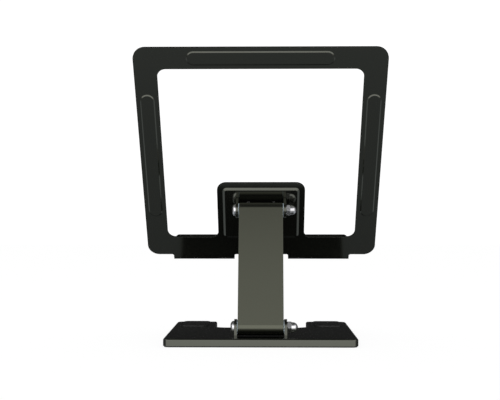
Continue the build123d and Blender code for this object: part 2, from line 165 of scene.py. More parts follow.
class PadSettings(bpy.types.PropertyGroup):
    """Sizes and colour of the silicone pads."""

    silicone: bpy.props.FloatVectorProperty(
        name="Silicone", description="Colour of the matt black silicone",
        subtype="COLOR", size=3, min=0, max=1, default=(0.0055, 0.0056, 0.0054),
    )
    rim: bpy.props.FloatProperty(
        name="Moulded rim", description="Radius of the pads' moulded edges",
        subtype="DISTANCE", unit="LENGTH", min=0, default=0.3 * MM,
    )
    crown: bpy.props.FloatProperty(
        name="Crown", description="How much a pad's middle stands above its rim",
        subtype="DISTANCE", unit="LENGTH", min=0, default=0.12 * MM,
    )
    rest_corner: bpy.props.FloatProperty(
        name="Rest pad corner", description="Corner radius of the two pads on the base",
        subtype="DISTANCE", unit="LENGTH", min=0, default=4.0 * MM,
    )
    tongue_corner: bpy.props.FloatProperty(
        name="Tongue pad corner", description="Corner radius of the pad behind the tablet",
        subtype="DISTANCE", unit="LENGTH", min=0, default=0.8 * MM,
    )
    foot_corner: bpy.props.FloatProperty(
        name="Foot corner", description="Corner radius of the sheet under the base",
        subtype="DISTANCE", unit="LENGTH", min=0, default=4.4 * MM,
    )
    bite_width: bpy.props.FloatProperty(
        name="Bite width", description="Width of the foot sheet's front opening",
        subtype="DISTANCE", unit="LENGTH", min=0, default=75.0 * MM,
    )
    bite_depth: bpy.props.FloatProperty(
        name="Bite depth", description="Depth of the foot sheet's front opening",
        subtype="DISTANCE", unit="LENGTH", min=0, default=45.0 * MM,
    )
    bite_corner: bpy.props.FloatProperty(
        name="Bite corner", description="Inner corner radius of the front opening",
        subtype="DISTANCE", unit="LENGTH", min=0, default=10.0 * MM,
    )
    hook_liner: bpy.props.FloatProperty(
        name="Hook liner", description="Thickness of the liners in the two hooks",
        subtype="DISTANCE", unit="LENGTH", min=0, default=1.2 * MM,
    )


class StudioSettings(bpy.types.PropertyGroup):
    """Floor, light and camera."""

    floor_width: bpy.props.FloatProperty(
        name="Floor", description="Width of the studio floor",
        subtype="DISTANCE", unit="LENGTH", min=0, default=6.0,
    )
    paper: bpy.props.FloatVectorProperty(
        name="Paper", description="Colour of the floor",
        subtype="COLOR", size=3, min=0, max=1, default=(0.90, 0.90, 0.90),
    )
    softbox: bpy.props.FloatVectorProperty(
        name="Softbox", description="Colour of the wide softbox by the camera",
        subtype="COLOR", size=3, min=0, max=2, default=(1.31, 1.29, 1.31),
    )
    lens: bpy.props.FloatProperty(
        name="Lens", description="Focal length",
        subtype="DISTANCE_CAMERA", unit="CAMERA", min=1, default=69.819,
    )
    camera_place: bpy.props.FloatVectorProperty(
        name="Camera place", description="Where the camera stands",
        subtype="TRANSLATION", unit="LENGTH", size=3, default=(-0.00474, 0.75088, 0.09035),
    )
    camera_turn: bpy.props.FloatProperty(
        name="Camera turn", description="Turn away from the line straight along the stand",
        subtype="ANGLE", unit="ROTATION", default=-0.01626,
    )
    camera_rise: bpy.props.FloatProperty(
        name="Camera rise", description="Upward tilt of the camera",
        subtype="ANGLE", unit="ROTATION", default=0.00852,
    )
    shift_x: bpy.props.FloatProperty(
        name="Shift across", description="Sideways shift of the lens", default=-0.00281,
    )
    shift_y: bpy.props.FloatProperty(
        name="Shift up", description="Upward shift of the lens", default=0.02488,
    )


# ------------------------------------------------------------------ node helpers
def add_node(tree, kind, x, y, **values):
    """Place a shader node and set its plain properties."""
    node = tree.nodes.new(kind)
    node.location = (x, y)
    for name, value in values.items():
        setattr(node, name, value)
    return node


def join(tree, source, target):
    """Wire one socket to another."""
    tree.links.new(source, target)


def number(tree, operation, x, y, first, second=None, third=None, clamp=False):
    """Place a Math node whose inputs are sockets or plain numbers."""
    node = add_node(tree, "ShaderNodeMath", x, y, operation=operation, use_clamp=clamp)
    for index, value in enumerate((first, second, third)):
        if value is None:
            continue
        if isinstance(value, bpy.types.NodeSocket):
            join(tree, value, node.inputs[index])
        else:
            node.inputs[index].default_value = value
    return node.outputs[0]


def remap(tree, x, y, value, from_low, from_high, to_low, to_high):
    """Place a Map Range node that clamps."""
    node = add_node(tree, "ShaderNodeMapRange", x, y, clamp=True)
    join(tree, value, node.inputs["Value"])
    for label, amount in (
        ("From Min", from_low), ("From Max", from_high), ("To Min", to_low), ("To Max", to_high),
    ):
        if isinstance(amount, bpy.types.NodeSocket):
            join(tree, amount, node.inputs[label])
        else:
            node.inputs[label].default_value = amount
    return node.outputs["Result"]


def blend_colours(tree, x, y, share, first, second):
    """Mix two colours, each a socket or a plain colour."""
    node = add_node(tree, "ShaderNodeMix", x, y, data_type="RGBA")
    join(tree, share, node.inputs["Factor"])
    for socket, value in ((node.inputs[6], first), (node.inputs[7], second)):
        if isinstance(value, bpy.types.NodeSocket):
            join(tree, value, socket)
        else:
            socket.default_value = (*value, 1.0)
    return node.outputs[2]


def start_group(name, inputs, outputs):
    """Make an effect group with float inputs and the named outputs."""
    group = bpy.data.node_groups.new(name, "ShaderNodeTree")
    for label, value in inputs.items():
        socket = group.interface.new_socket(
            name=label, in_out="INPUT", socket_type="NodeSocketFloat"
        )
        socket.default_value = value
    for label, kind in outputs.items():
        group.interface.new_socket(name=label, in_out="OUTPUT", socket_type=kind)
    entry = add_node(group, "NodeGroupInput", -900, 0)
    leave = add_node(group, "NodeGroupOutput", 600, 0)
    return group, entry, leave


def noise(tree, x, y, vector, scale, detail=2.0, roughness=0.5):
    """Place a 3D noise on object coordinates."""
    node = add_node(tree, "ShaderNodeTexNoise", x, y)
    join(tree, vector, node.inputs["Vector"])
    if isinstance(scale, bpy.types.NodeSocket):
        join(tree, scale, node.inputs["Scale"])
    else:
        node.inputs["Scale"].default_value = scale
    node.inputs["Detail"].default_value = detail
    node.inputs["Roughness"].default_value = roughness
    return node.outputs["Fac"]


def make_orange_peel():
    """Gentle waviness of a sprayed and baked coating."""
    group, entry, leave = start_group(
        "Orange peel", {"Scale": 420.0, "Fine share": 0.25}, {"Height": "NodeSocketFloat"}
    )
    place = add_node(group, "ShaderNodeTexCoord", -900, -200).outputs["Object"]
    broad = noise(group, -600, 100, place, entry.outputs["Scale"], 1.0)
    fine_scale = number(group, "MULTIPLY", -700, -250, entry.outputs["Scale"], 5.0)
    fine = noise(group, -500, -250, place, fine_scale, 2.0)
    fine = number(group, "MULTIPLY", -250, -250, fine, entry.outputs["Fine share"])
    join(group, number(group, "ADD", 0, 0, broad, fine), leave.inputs["Height"])
    return group


def make_handling_marks():
    """Soft smudges and faint wiping streaks that dull the gloss here and there."""
    group, entry, leave = start_group(
        "Handling marks", {"Scale": 26.0, "Strength": 0.5}, {"Mask": "NodeSocketFloat"}
    )
    place = add_node(group, "ShaderNodeTexCoord", -900, -200).outputs["Object"]
    smudge = noise(group, -600, 150, place, entry.outputs["Scale"], 4.0, 0.6)
    smudge = remap(group, -350, 150, smudge, 0.48, 0.72, 0.0, 1.0)
    stretch = add_node(group, "ShaderNodeMapping", -700, -250)
    stretch.inputs["Scale"].default_value = (1.0, 1.0, 14.0)
    join(group, place, stretch.inputs["Vector"])
    streak = noise(group, -450, -250, stretch.outputs["Vector"], 60.0, 3.0, 0.7)
    streak = remap(group, -200, -250, streak, 0.55, 0.8, 0.0, 0.6)
    both = number(group, "ADD", 0, 0, smudge, streak, clamp=True)
    both = number(group, "MULTIPLY", 200, 0, both, entry.outputs["Strength"])
    join(group, both, leave.inputs["Mask"])
    return group


def make_rubbed_edges():
    """Mask of outer edges, broken up so that the wear isn't even."""
    group, entry, leave = start_group(
        "Rubbed edges", {"Radius": 0.0005, "Amount": 1.0}, {"Mask": "NodeSocketFloat"}
    )
    place = add_node(group, "ShaderNodeTexCoord", -900, -300).outputs["Object"]
    facing = add_node(group, "ShaderNodeNewGeometry", -700, 200).outputs["Normal"]
    rounded = add_node(group, "ShaderNodeBevel", -700, 0, samples=4)
    join(group, entry.outputs["Radius"], rounded.inputs["Radius"])
    agree = add_node(group, "ShaderNodeVectorMath", -450, 100, operation="DOT_PRODUCT")
    join(group, facing, agree.inputs[0])
    join(group, rounded.outputs["Normal"], agree.inputs[1])
    edge = remap(group, -250, 100, agree.outputs["Value"], 0.98, 0.80, 0.0, 1.0)
    breakup = noise(group, -450, -300, place, 240.0, 5.0, 0.65)
    breakup = remap(group, -250, -300, breakup, 0.42, 0.66, 0.0, 1.0)
    worn = number(group, "MULTIPLY", 0, 0, edge, breakup)
    worn = number(group, "MULTIPLY", 200, 0, worn, entry.outputs["Amount"], clamp=True)
    join(group, worn, leave.inputs["Mask"])
    return group


def make_settled_dust():
    """Fine specks on surfaces that face up."""
    group, entry, leave = start_group(
        "Settled dust", {"Scale": 900.0, "Amount": 0.3}, {"Mask": "NodeSocketFloat"}
    )
    place = add_node(group, "ShaderNodeTexCoord", -900, -300).outputs["Object"]
    facing = add_node(group, "ShaderNodeNewGeometry", -900, 200).outputs["Normal"]
    parts = add_node(group, "ShaderNodeSeparateXYZ", -700, 200)
    join(group, facing, parts.inputs[0])
    upward = remap(group, -500, 200, parts.outputs["Z"], 0.35, 1.0, 0.0, 1.0)
    cells = add_node(group, "ShaderNodeTexVoronoi", -600, -150, feature="F1")
    join(group, place, cells.inputs["Vector"])
    join(group, entry.outputs["Scale"], cells.inputs["Scale"])
    specks = remap(group, -350, -150, cells.outputs["Distance"], 0.07, 0.20, 1.0, 0.0)
    patches = noise(group, -600, -400, place, 45.0, 3.0)
    patches = remap(group, -350, -400, patches, 0.45, 0.7, 0.0, 1.0)
    dust = number(group, "MULTIPLY", -100, -200, specks, patches)
    dust = number(group, "MULTIPLY", 100, 0, dust, upward)
    dust = number(group, "MULTIPLY", 300, 0, dust, entry.outputs["Amount"], clamp=True)
    join(group, dust, leave.inputs["Mask"])
    return group


def make_turning_lines():
    """Fine lines that a lathe or a wire brush leaves, square to one axis."""
    group, entry, leave = start_group(
        "Turning lines", {"Pitch": 900.0, "Waver": 0.15}, {"Height": "NodeSocketFloat"}
    )
    place = add_node(group, "ShaderNodeTexCoord", -900, -200).outputs["Object"]
    squeeze = add_node(group, "ShaderNodeMapping", -700, 0)
    squeeze.inputs["Scale"].default_value = (1.0, 0.06, 0.06)
    join(group, place, squeeze.inputs["Vector"])
    lines = noise(group, -450, 0, squeeze.outputs["Vector"], entry.outputs["Pitch"], 4.0, 0.7)
    waver = noise(group, -450, -250, place, 70.0, 2.0)
    waver = number(group, "MULTIPLY", -200, -250, waver, entry.outputs["Waver"])
    join(group, number(group, "ADD", 0, 0, lines, waver), leave.inputs["Height"])
    return group


def make_mould_stipple():
    """Spark-eroded mould texture, as pressed into rubber."""
    group, entry, leave = start_group(
        "Mould stipple", {"Scale": 1500.0},
        {"Height": "NodeSocketFloat", "Patch": "NodeSocketFloat"},
    )
    place = add_node(group, "ShaderNodeTexCoord", -900, -200).outputs["Object"]
    cells = add_node(group, "ShaderNodeTexVoronoi", -600, 100, feature="SMOOTH_F1")
    join(group, place, cells.inputs["Vector"])
    join(group, entry.outputs["Scale"], cells.inputs["Scale"])
    grain = noise(group, -600, -150, place, 3200.0, 2.0)
    grain = number(group, "MULTIPLY", -350, -150, grain, 0.35)
    height = number(group, "ADD", -100, 0, cells.outputs["Distance"], grain)
    join(group, height, leave.inputs["Height"])
    patch = noise(group, -600, -400, place, 55.0, 4.0, 0.6)
    join(group, remap(group, -350, -400, patch, 0.35, 0.7, 0.0, 1.0), leave.inputs["Patch"])
    return group


GROUP_MAKERS = {
    "Orange peel": make_orange_peel,
    "Handling marks": make_handling_marks,
    "Rubbed edges": make_rubbed_edges,
    "Settled dust": make_settled_dust,
    "Turning lines": make_turning_lines,
    "Mould stipple": make_mould_stipple,
}


def effect(tree, name, x, y, **values):
    """Place one of the shared effect groups, with its own values."""
    group = bpy.data.node_groups.get(name) or GROUP_MAKERS[name]()
    node = add_node(tree, "ShaderNodeGroup", x, y, node_tree=group)
    for label, value in values.items():
        node.inputs[label.replace("_", " ")].default_value = value
    return node.outputs


def start_material(name):
    """A material with only its Principled BSDF and its output."""
    material = bpy.data.materials.new(name)
    material.use_nodes = True
    tree = material.node_tree
    tree.nodes.clear()
    surface = add_node(tree, "ShaderNodeBsdfPrincipled", 500, 0)
    output = add_node(tree, "ShaderNodeOutputMaterial", 800, 0)
    join(tree, surface.outputs["BSDF"], output.inputs["Surface"])
    return material, tree, surface


def relief(tree, x, y, height, distance, strength, under=None):
    """Bump from a height, over an optional normal."""
    node = add_node(tree, "ShaderNodeBump", x, y)
    node.inputs["Distance"].default_value = distance
    node.inputs["Strength"].default_value = strength
    join(tree, height, node.inputs["Height"])
    if under is not None:
        join(tree, under, node.inputs["Normal"])
    return node.outputs["Normal"]


def soft_edge(tree, x, y, radius):
    """Normal that rounds a sharp cut edge."""
    node = add_node(tree, "ShaderNodeBevel", x, y, samples=6)
    node.inputs["Radius"].default_value = radius
    return node.outputs["Normal"]


def make_lacquer(name, colour, painted_reflection_tint, looks, peel_scale, peel_depth):
    """Deep gloss lacquer on metal, thin on its edges, with faint smudges and dust, and a painted
    warm tint on its reflections.
    """
    material, tree, surface = start_material(name)
    edge = effect(tree, "Rubbed edges", -500, 350, Radius=looks.edge_radius, Amount=0.15)["Mask"]
    dust = effect(tree, "Settled dust", -500, 150, Scale=900.0, Amount=0.06)["Mask"]
    marks = effect(tree, "Handling marks", -500, -50, Scale=26.0, Strength=0.35)["Mask"]
    peel = effect(tree, "Orange peel", -500, -250, Scale=peel_scale, Fine_share=0.25)["Height"]
    tint = blend_colours(tree, -200, 300, edge, colour, looks.bare)
    tint = blend_colours(tree, 50, 300, dust, tint, looks.dust)
    join(tree, tint, surface.inputs["Base Color"])
    clean = looks.roughness
    gloss = remap(tree, -200, 0, marks, 0.0, 1.0, clean, clean + 0.12)
    gloss = number(tree, "MULTIPLY_ADD", 50, 50, edge, 0.12, gloss)
    gloss = number(tree, "MULTIPLY_ADD", 250, 50, dust, 0.5, gloss, clamp=True)
    join(tree, gloss, surface.inputs["Roughness"])
    rounded = soft_edge(tree, -500, -450, looks.edge_radius)
    join(tree, relief(tree, 200, -250, peel, peel_depth, 0.6, rounded), surface.inputs["Normal"])
    surface.inputs["IOR"].default_value = LACQUER_IOR
    # Painted reflection: the specular tint lays the softbox's warm colour on every reflection in
    # the lacquer.
    surface.inputs["Specular Tint"].default_value = (*painted_reflection_tint, 1.0)
    return material


def make_plated(name, colour, roughness, line_depth, edge_radius):
    """Bright metal with fine turning lines and a slightly mottled polish."""
    material, tree, surface = start_material(name)
    lines = effect(tree, "Turning lines", -500, -200, Pitch=1400.0, Waver=0.2)["Height"]
    marks = effect(tree, "Handling marks", -500, 100, Scale=120.0, Strength=0.8)["Mask"]
    shaded = tuple(channel * 0.80 for channel in colour)
    join(tree, blend_colours(tree, 0, 250, marks, colour, shaded), surface.inputs["Base Color"])
    gloss = remap(tree, -200, 0, marks, 0.0, 1.0, roughness, roughness + 0.14)
    join(tree, gloss, surface.inputs["Roughness"])
    rounded = soft_edge(tree, -500, -450, edge_radius)
    join(tree, relief(tree, 200, -250, lines, line_depth, 0.5, rounded), surface.inputs["Normal"])
    surface.inputs["Metallic"].default_value = 1.0
    return material


def make_nylon(name, colour):
    """Natural nylon: slightly cloudy, with a soft sheen."""
    material, tree, surface = start_material(name)
    stipple = effect(tree, "Mould stipple", -500, 0, Scale=2600.0)
    pale = tuple(min(1.0, channel * 1.25) for channel in colour)
    cloudy = blend_colours(tree, 0, 200, stipple["Patch"], colour, pale)
    join(tree, cloudy, surface.inputs["Base Color"])
    gloss = remap(tree, 0, 0, stipple["Patch"], 0.0, 1.0, 0.34, 0.46)
    join(tree, gloss, surface.inputs["Roughness"])
    join(tree, relief(tree, 200, -250, stipple["Height"], 0.00002, 0.4), surface.inputs["Normal"])
    return material


def make_silicone(name, colour, dust_colour):
    """Matt moulded silicone, a little greyer where it has been touched, with a trace of dust."""
    material, tree, surface = start_material(name)
    stipple = effect(tree, "Mould stipple", -500, 0, Scale=1500.0)
    dust = effect(tree, "Settled dust", -500, 300, Scale=1100.0, Amount=0.08)["Mask"]
    worn = tuple(channel * 1.5 for channel in colour)
    tint = blend_colours(tree, -200, 200, stipple["Patch"], colour, worn)
    tint = blend_colours(tree, 50, 250, dust, tint, dust_colour)
    join(tree, tint, surface.inputs["Base Color"])
    gloss = remap(tree, 0, 0, stipple["Patch"], 0.0, 1.0, 0.40, 0.50)
    join(tree, gloss, surface.inputs["Roughness"])
    join(tree, relief(tree, 200, -250, stipple["Height"], 0.00005, 0.5), surface.inputs["Normal"])
    surface.inputs["Specular IOR Level"].default_value = 0.5
    return material


def dress(nodes, material):
    """Give CAD nodes their finish."""
    for label in nodes:
        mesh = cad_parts[label].data
        mesh.materials.clear()
        mesh.materials.append(material)


# ------------------------------------------------------------------ moulding helpers
def lay_sheet(name, width, length):
    """Start a pad as a flat rectangle about the origin, alone and in edit mode."""
    bpy.ops.object.select_all(action="DESELECT")
    bpy.ops.mesh.primitive_plane_add(size=1, location=(0, 0, 0))
    pad = bpy.context.object
    pad.name = name
    pad.data.name = name
    pad.scale = (width, length, 1)
    bpy.ops.object.transform_apply(location=False, rotation=False, scale=True)
    bpy.ops.object.mode_set(mode="EDIT")
    return pad


def pick(pad, kind, test):
    """Select in edit mode the corners, edges or faces whose points pass a test."""
    bpy.ops.mesh.select_mode(type=kind)
    bpy.ops.mesh.select_all(action="DESELECT")
    shape = bmesh.from_edit_mesh(pad.data)
    items = {"VERT": shape.verts, "EDGE": shape.edges, "FACE": shape.faces}[kind]
    for item in items:
        points = [item.co] if kind == "VERT" else [corner.co for corner in item.verts]
        if test(points):
            item.select_set(True)
    shape.select_flush_mode()
    bmesh.update_edit_mesh(pad.data)


def slice_across(direction, *distances):
    """Cut new edges through the whole pad, square to a direction."""
    for distance in distances:
        bpy.ops.mesh.select_all(action="SELECT")
        bpy.ops.mesh.bisect(plane_co=direction * distance, plane_no=direction)


def round_corners(pad, radius, segments, test):
    """Round the flat outline's corners that pass a test."""
    pick(pad, "VERT", lambda points: test(points[0]))
    bpy.ops.mesh.bevel(offset=radius, segments=segments, affect="VERTICES", profile=0.5)


def thicken(pad, thickness):
    """Pull the flat outline up into a slab whose underside stays at zero."""
    bpy.ops.mesh.select_mode(type="FACE")
    bpy.ops.mesh.select_all(action="SELECT")
    bpy.ops.mesh.extrude_region_move(TRANSFORM_OT_translate={"value": (0, 0, thickness)})
    bpy.ops.mesh.select_all(action="SELECT")
    bpy.ops.mesh.normals_make_consistent(inside=False)


def at_height(points, height):
    """Whether all points lie at one height."""
    return all(abs(point.z - height) < TINY for point in points)


def round_rim(pad, height, radius, segments=3):
    """Round the rim of the flat face at a height, and leave that face selected."""
    pick(pad, "FACE", lambda points: at_height(points, height))
    bpy.ops.mesh.region_to_loop()
    bpy.ops.mesh.bevel(offset=radius, segments=segments, affect="EDGES", profile=0.5)
    pick(pad, "FACE", lambda points: at_height(points, height))


def crown_top(pad, width, length, height, rise, cuts=9):
    """Cut the flat top face into a grid and raise it in a shallow dome."""
    for axis, size in ((ACROSS, width), (ALONG, length)):
        slice_across(axis, *(size * (step / cuts - 0.5) for step in range(1, cuts)))
    shape = bmesh.from_edit_mesh(pad.data)
    for corner in shape.verts:
        if abs(corner.co.z - height) < TINY:
            across = max(0.0, 1 - (2 * corner.co.x / width) ** 2)
            along = max(0.0, 1 - (2 * corner.co.y / length) ** 2)
            corner.co.z += rise * math.sqrt(across * along)
    bmesh.update_edit_mesh(pad.data)


def settle(pad, place, body, node, material):
    """Close a pad: put it in its place, smooth it, and let it stand for its CAD node."""
    bpy.ops.mesh.select_all(action="SELECT")
    bpy.ops.mesh.remove_doubles(threshold=TINY)
    bpy.ops.mesh.normals_make_consistent(inside=False)
    bpy.ops.object.mode_set(mode="OBJECT")
    pad.matrix_world = place
    bpy.ops.object.transform_apply(location=True, rotation=True, scale=True)
    bpy.ops.object.shade_smooth_by_angle(angle=math.radians(40))
    pad.data.materials.append(material)
    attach(pad, body)
    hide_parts(node)
    return pad


def span(node):
    """A pad's length and width in the frame's plane, and its thickness out of it."""
    points = [vertex.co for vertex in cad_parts[node].data.vertices]
    sizes = []
    for axis in (ACROSS, FRAME_UP, FRAME_FRONT):
        reach = [point.dot(axis) for point in points]
        sizes.append((min(reach), max(reach)))
    return sizes


# ------------------------------------------------------------------ pieces
class STAND_OT_mould_foot(bpy.types.Operator):
    """Mould the thin silicone sheet under the whole base"""

    bl_idname = "stand.mould_foot"
    bl_label = "Foot sheet"
    bl_options = {"REGISTER", "UNDO"}

    def execute(self, context):
        sizes = context.scene.stand_pads
        low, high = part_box("base_foot_pad")
        width, length, thickness = high - low
        pad = lay_sheet("foot_sheet", width, length)
        half = sizes.bite_width / 2
        inner = -length / 2 + sizes.bite_depth
        slice_across(ACROSS, -half, half)
        slice_across(ALONG, inner)
        pick(pad, "FACE", lambda points: all(
            abs(point.x) < half + TINY and point.y < inner + TINY for point in points))
        bpy.ops.mesh.delete(type="FACE")
        round_corners(pad, sizes.foot_corner, 8, lambda point: abs(point.x) > width / 2 - TINY
                      and abs(point.y) > length / 2 - TINY)
        round_corners(pad, sizes.bite_corner, 10, lambda point: abs(abs(point.x) - half) < TINY
                      and abs(point.y - inner) < TINY)
        thicken(pad, thickness)
        pick(pad, "FACE", lambda points: at_height(points, 0.0))
        bpy.ops.mesh.region_to_loop()
        bpy.ops.mesh.bevel(offset=thickness * 0.3, segments=2, affect="EDGES", profile=0.5)
        place = Matrix.Translation(((low.x + high.x) / 2, (low.y + high.y) / 2, low.z))
        settle(pad, place, "base", "base_foot_pad", bpy.data.materials["Matt silicone"])
        return {"FINISHED"}


class STAND_OT_mould_rests(bpy.types.Operator):
    """Mould the two thin pads on the base's front lobes"""

    bl_idname = "stand.mould_rests"
    bl_label = "Rest pads"
    bl_options = {"REGISTER", "UNDO"}

    def execute(self, context):
        sizes = context.scene.stand_pads
        for side in ("left", "right"):
            node = f"base_rest_pad_{side}"
            low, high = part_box(node)
            width, length, thickness = high - low
            pad = lay_sheet(f"rest_pad_{side}", width, length)
            round_corners(pad, sizes.rest_corner, 8, lambda point: True)
            thicken(pad, thickness - sizes.crown)
            round_rim(pad, thickness - sizes.crown, sizes.rim)
            crown_top(pad, width, length, thickness - sizes.crown, sizes.crown)
            place = Matrix.Translation(((low.x + high.x) / 2, (low.y + high.y) / 2, low.z))
            settle(pad, place, "base", node, bpy.data.materials["Matt silicone"])
        return {"FINISHED"}


class STAND_OT_mould_strips(bpy.types.Operator):
    """Mould the three rounded strips in the frame's ribs"""

    bl_idname = "stand.mould_strips"
    bl_label = "Frame strips"
    bl_options = {"REGISTER", "UNDO"}

    def execute(self, context):
        sizes = context.scene.stand_pads
        for side in ("top", "left", "right"):
            node = f"panel_strip_{side}"
            across, up, out = span(node)
            width, length = across[1] - across[0], up[1] - up[0]
            thickness = out[1] - out[0]
            pad = lay_sheet(f"strip_{side}", width, length)
            round_corners(pad, min(width, length) / 2 - 0.05 * MM, 12, lambda point: True)
            thicken(pad, thickness - sizes.crown)
            round_rim(pad, thickness - sizes.crown, sizes.rim)
            crown_top(pad, width, length, thickness - sizes.crown, sizes.crown)
            middle = (across[0] + across[1]) / 2
            foot = FRAME_UP * ((up[0] + up[1]) / 2) + FRAME_FRONT * out[0]
            place = Matrix.Translation(Vector((middle, 0, 0)) + foot) @ FRAME_AXES
            settle(pad, place, "panel", node, bpy.data.materials["Matt silicone"])
        return {"FINISHED"}


class STAND_OT_mould_tongue(bpy.types.Operator):
    """Mould the pad behind the tablet, hollowed at the back for the bracket"""

    bl_idname = "stand.mould_tongue"
    bl_label = "Tongue pad"
    bl_options = {"REGISTER", "UNDO"}

    def execute(self, context):
        sizes = context.scene.stand_pads
        across, up, out = span("tongue_pad")
        width, length, thickness = (high - low for low, high in (across, up, out))
        middle_up = (up[0] + up[1]) / 2
        hinge_up = middle_of("upper_pivot_bolt").dot(FRAME_UP)
        low_cut = hinge_up - WEB_HALF_HEIGHT - middle_up
        high_cut = hinge_up + WEB_HALF_HEIGHT - middle_up
        pad = lay_sheet("tongue_cushion", width, length)
        slice_across(ACROSS, -WEB_HALF_WIDTH, WEB_HALF_WIDTH)
        slice_across(ALONG, low_cut, high_cut)
        thicken(pad, thickness - sizes.crown)
        pick(pad, "FACE", lambda points: at_height(points, 0.0) and all(
            abs(point.x) < WEB_HALF_WIDTH + TINY and low_cut - TINY < point.y < high_cut + TINY
            for point in points))
        bpy.ops.mesh.extrude_region_move(
            TRANSFORM_OT_translate={"value": (0, 0, WEB_HOLLOW_DEPTH)})
        pick(pad, "FACE", lambda points: at_height(points, thickness - sizes.crown))
        bpy.ops.mesh.dissolve_faces()
        pick(pad, "EDGE", lambda points: abs(points[0].z - points[1].z) > thickness / 2)
        bpy.ops.mesh.bevel(offset=sizes.tongue_corner, segments=5, affect="EDGES", profile=0.5)
        round_rim(pad, thickness - sizes.crown, sizes.rim)
        crown_top(pad, width, length, thickness - sizes.crown, sizes.crown)
        foot = FRAME_UP * middle_up + FRAME_FRONT * out[0]
        middle = Vector(((across[0] + across[1]) / 2, 0, 0))
        place = Matrix.Translation(middle + foot) @ FRAME_AXES
        settle(pad, place, "panel", "tongue_pad", bpy.data.materials["Matt silicone"])
        return {"FINISHED"}


class STAND_OT_mould_liners(bpy.types.Operator):
    """Mould the angled liners on the shelf and lip of each hook"""

    bl_idname = "stand.mould_liners"
    bl_label = "Hook liners"
    bl_options = {"REGISTER", "UNDO"}

    def execute(self, context):
        sizes = context.scene.stand_pads
        for side in ("left", "right"):
            node = f"hook_pad_{side}"
            across, up, out = span(node)
            width = across[1] - across[0]
            reach, rise = out[1] - out[0], up[1] - up[0]
            liner = sizes.hook_liner
            pad = lay_sheet(f"hook_liner_{side}", reach, rise)
            lip, shelf = reach / 2 - liner, -rise / 2 + liner
            slice_across(ACROSS, lip)
            slice_across(ALONG, shelf)
            pick(pad, "FACE", lambda points: all(
                point.x < lip + TINY and point.y > shelf - TINY for point in points))
            bpy.ops.mesh.delete(type="FACE")
            round_corners(pad, HOOK_OUTER_BEND, 5, lambda point: point.x > reach / 2 - TINY
                          and point.y < -rise / 2 + TINY)
            round_corners(pad, HOOK_INNER_BEND, 3, lambda point: abs(point.x - lip) < TINY
                          and abs(point.y - shelf) < TINY)
            thicken(pad, width)
            for height in (0.0, width):
                pick(pad, "FACE", lambda points: at_height(points, height))
                bpy.ops.mesh.region_to_loop()
                bpy.ops.mesh.bevel(offset=sizes.rim, segments=3, affect="EDGES", profile=0.5)
            axes = Matrix((FRAME_FRONT, FRAME_UP, Vector((-1, 0, 0)))).transposed().to_4x4()
            middle = FRAME_UP * ((up[0] + up[1]) / 2) + FRAME_FRONT * ((out[0] + out[1]) / 2)
            place = Matrix.Translation(Vector((across[1], 0, 0)) + middle) @ axes
            settle(pad, place, "panel", node, bpy.data.materials["Matt silicone"])
        return {"FINISHED"}


class STAND_OT_finish_metal(bpy.types.Operator):
    """Lacquer the base, brackets, frame and arm"""

    bl_idname = "stand.finish_metal"
    bl_label = "Black metal"
    bl_options = {"REGISTER", "UNDO"}

    def execute(self, context):
        looks = context.scene.stand_lacquer
        black = make_lacquer("Baked black lacquer", looks.black, looks.painted_reflection_tint, looks,
                             BLACK_PEEL_SCALE, BLACK_PEEL_DEPTH)
        arm = make_lacquer("Black arm coating", looks.arm_black, looks.arm_painted_reflection_tint, looks,
                           ARM_PEEL_SCALE, ARM_PEEL_DEPTH)
        dress(BLACK_PARTS, black)
        dress(["arm"], arm)
        return {"FINISHED"}


class STAND_OT_finish_fasteners(bpy.types.Operator):
    """Plate the bolts and nuts, and finish screws, rivets and bushes"""

    bl_idname = "stand.finish_fasteners"
    bl_label = "Fasteners"
    bl_options = {"REGISTER", "UNDO"}

    def execute(self, context):
        looks = context.scene.stand_fasteners
        bright = make_plated("Bright plated steel", looks.plated, looks.bright_roughness,
                             BRIGHT_LINES, FASTENER_EDGE)
        plain = make_plated("Plain steel", looks.plain, looks.plain_roughness,
                            PLAIN_LINES, FASTENER_EDGE)
        dress(BRIGHT_PARTS, bright)
        dress(PLAIN_PARTS, plain)
        dress(BUSHES, make_nylon("Natural nylon", looks.nylon))
        return {"FINISHED"}


class STAND_OT_mix_silicone(bpy.types.Operator):
    """Make the silicone that all pads share"""

    bl_idname = "stand.mix_silicone"
    bl_label = "Silicone"
    bl_options = {"REGISTER", "UNDO"}

    def execute(self, context):
        make_silicone("Matt silicone", context.scene.stand_pads.silicone,
                      context.scene.stand_lacquer.dust)
        return {"FINISHED"}


